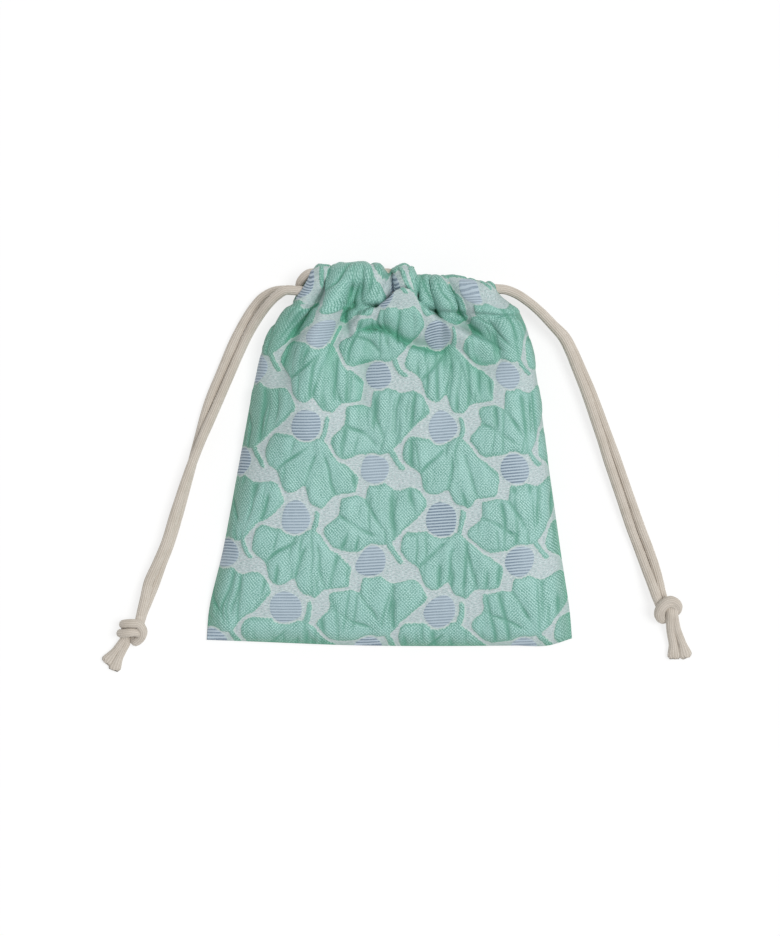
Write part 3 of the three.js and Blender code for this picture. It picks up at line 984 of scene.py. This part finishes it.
def beside_pair(point, way, turn, side, face):
    inner = 1 if face == "front" else -1
    half = CORD_RADIUS + STRAND_GAP / 2
    across = half * np.cos(np.radians(turn)) * inner * -OUTWARDS[side]
    height = CORD_RADIUS + STRAND_GAP + half * np.sin(np.radians(turn)) * (1 + inner)
    return np.array([point[0] - across * way[1], point[1] + across * way[0], height])


HELD_INSIDE = 2.0  # each strand starts this far inside its casing
PAST_EXIT = 1.8


def strand_points(side, face):
    route = PAIR_ROUTE[side]
    middles = [row[:2] for row in route]
    out = np.array([np.cos(MOUTH_LEAN), np.sin(MOUTH_LEAN)]) * OUTWARDS[side]
    points = []
    for past in (-HELD_INSIDE, PAST_EXIT):
        points.append([*(EXIT[side] + out * past), EXIT_HEIGHT[face]])
    for i, (x, y, turn, held) in enumerate(route):
        way = np.subtract(middles[min(i + 1, len(route) - 1)], middles[max(0, i - 1)])
        way = way / np.linalg.norm(way)
        point = beside_pair(EXIT[side] + (x, y), way, turn, side, face)
        point[2] = point[2] + (EXIT_HEIGHT[face] - point[2]) * held
        points.append(point)
    return seen_size(np.array(points))


strand_paths = {}
strands = {}
for side in ("left", "right"):
    for face in ("front", "back"):
        path, length = smooth_path(strand_points(side, face), 0.7)
        seed = 41 if face == "front" else 43
        strand = cord_mesh(f"{side}_cord_{face}", path, CORD_RADIUS, sides=52, seed=seed)
        stand_in(strand, "cord", f"{side}_cord_{face}_strand")
        strand_paths[side, face] = path
        strands[side, face] = (strand, length)

# The knots and cord ends.
# Each pair is tied in one overhand knot, pulled tight. Below it the two cord ends lie side by side
# on the table, flattened and frayed where they were cut.

KNOTTED_RADIUS = 1.85  # the cord pulled tight
KNOT_MIDDLE = {"left": (-112.8, -75.9), "right": (121.2, -67.1)}
# Each strand's way through its knot, from the knot's middle: right, towards the mouth, and up.
KNOT_LINES = {
    ("left", "front"): [
        (2.8, 1.2, 2.4),
        (1.2, -4.2, 2.4),
        (1.6, -5.8, 3.6),
        (4.2, -4.2, 5.4),
        (5.5, -0.8, 7.4),
        (3.8, 2.1, 8.6),
        (0.4, 2.5, 8.8),
        (-2.4, 2.2, 7.4),
        (-3.3, 1.7, 4.8),
        (-1.8, 0.2, 2.6),
        (-2.6, -3.8, 2.6),
        (-5.6, -8.4, 2.4),
        (-8.5, -12.0, 2.1),
        (-11.0, -15.0, 1.9),
    ],
    ("left", "back"): [
        (3.8, 1.4, 2.4),
        (3.0, -2.8, 2.6),
        (4.4, -2.9, 4.6),
        (2.8, -1.5, 7.2),
        (-0.4, -1.5, 8.4),
        (-3.2, -1.9, 7.4),
        (-4.5, -2.1, 4.9),
        (-3.4, -2.8, 2.6),
        (-2.2, -5.2, 2.6),
        (-4.0, -9.6, 2.4),
        (-6.2, -14.0, 2.1),
        (-7.9, -18.0, 1.9),
    ],
    ("right", "front"): [
        (-1.8, 1.2, 2.6),
        (0.8, -2.6, 2.2),
        (-1.6, -5.0, 2.8),
        (-3.7, -3.4, 5.0),
        (-3.9, -0.4, 7.4),
        (-2.1, 2.4, 8.8),
        (1.0, 3.8, 9.0),
        (3.6, 2.4, 8.0),
        (4.6, 0.0, 5.2),
        (3.5, -1.8, 3.0),
        (1.4, -0.6, 3.6),
        (0.7, 1.2, 5.6),
        (0.9, -1.6, 7.0),
        (1.1, -5.0, 5.8),
        (1.8, -10.0, 3.0),
        (2.9, -15.8, 2.1),
        (3.3, -21.8, 1.9),
    ],
    ("right", "back"): [
        (0.6, 1.8, 2.6),
        (1.8, -2.4, 2.2),
        (-0.2, -4.6, 3.2),
        (-2.4, -3.2, 5.2),
        (-2.8, -0.8, 7.2),
        (-1.4, 1.4, 8.2),
        (1.0, 2.4, 8.2),
        (3.0, 1.2, 7.0),
        (3.6, -0.6, 5.0),
        (2.8, -1.8, 3.6),
        (2.2, -0.8, 4.0),
        (2.4, 0.8, 5.4),
        (2.6, -2.0, 6.4),
        (3.2, -5.4, 5.0),
        (4.6, -10.2, 2.8),
        (6.8, -15.8, 2.1),
        (8.6, -21.4, 1.9),
    ],
}

for (side, face), line in KNOT_LINES.items():
    middle = KNOT_MIDDLE[side]
    arriving = strand_paths[side, face]
    points = [arriving[-8], arriving[-1]]
    points = points + [[middle[0] + x, middle[1] + y, z] for x, y, z in line]
    path = smooth_path(points, 0.45)[0]
    seed = 51 if face == "front" else 57
    knot = cord_mesh(f"{side}_knot_{face}", path, KNOTTED_RADIUS, 40, seed, spread=0.55, ragged=0.8)
    whole_knot = [f"{side}_cord_knot"] if face == "front" else []
    stand_in(knot, "cord", f"{side}_cord_{face}_tail", *whole_knot)
    strand, length = strands[side, face]
    arriving[0] * MM
    length * MM
    arriving * MM

# The table, the light and the camera.
# A white table top under one large soft light from the right and an even sky.

GLOW_SHARE = 0.72  # keeps the table white, with the pouch's shadow still on it
SKY_LIGHT = 0.48


def table_material():
    material, start = new_material("white_table")
    grain = start.node("ShaderNodeTexNoise", None, {"Scale": 40.0})
    colour = grain.step(0.3, 0.7).blend((1, 1, 1, 1), (0.985, 0.985, 0.985, 1))
    lit = start.node("ShaderNodeBsdfDiffuse", None, {"Color": colour})
    glow = start.node("ShaderNodeEmission", None, {"Color": (1, 1, 1, 1), "Strength": 1.02})
    surface = start.node("ShaderNodeMixShader", None, {0: GLOW_SHARE, 1: lit, 2: glow})
    start.node("ShaderNodeOutputMaterial", None, {0: surface})
    return material


side_steps = np.linspace(-900, 900, 13)
table_x, table_y = np.meshgrid(side_steps, side_steps)
table_place = np.stack([table_x, table_y, table_x * 0], axis=-1)
table = make_mesh("table", table_place[::-1], table_place[::-1, :, :2], {}, table_material())

world = bpy.data.worlds.new("even_sky")
bpy.context.scene.world = world
world.use_nodes = True
world.node_tree.nodes.clear()
sky = Thread(world.node_tree)
# The sky is plain white where it is looked at, mirrored or seen through, and dimmer as a light.
seen = [sky.node("ShaderNodeLightPath", None, None, output=i) for i in (0, 3, 6)]
plain = seen[0].math("MAXIMUM", seen[0], seen[1].math("MAXIMUM", seen[1], seen[2]))
brightness = plain * (1 - SKY_LIGHT) + SKY_LIGHT
glow = sky.node("ShaderNodeBackground", None, {"Color": (1, 1, 1, 1), "Strength": brightness})
sky.node("ShaderNodeOutputWorld", None, {0: glow})

lamp = bpy.data.lights.new("window_light", "SUN")
lamp.energy = 1.75
lamp.angle = 0.5
lamp_object = bpy.data.objects.new("window_light", lamp)
lamp_object.rotation_euler = (np.radians(-5), np.radians(25), 0)
bpy.context.scene.collection.objects.link(lamp_object)

camera = bpy.data.cameras.new("above")
camera.lens = 85
camera.sensor_width = 36
camera_object = bpy.data.objects.new("above", camera)
camera_object.location = (VIEW_MIDDLE[0] * MM, VIEW_MIDDLE[1] * MM, CAMERA_HEIGHT * MM)
bpy.context.scene.collection.objects.link(camera_object)
bpy.context.scene.camera = camera_object
bpy.context.scene.view_settings.view_transform = "Standard"
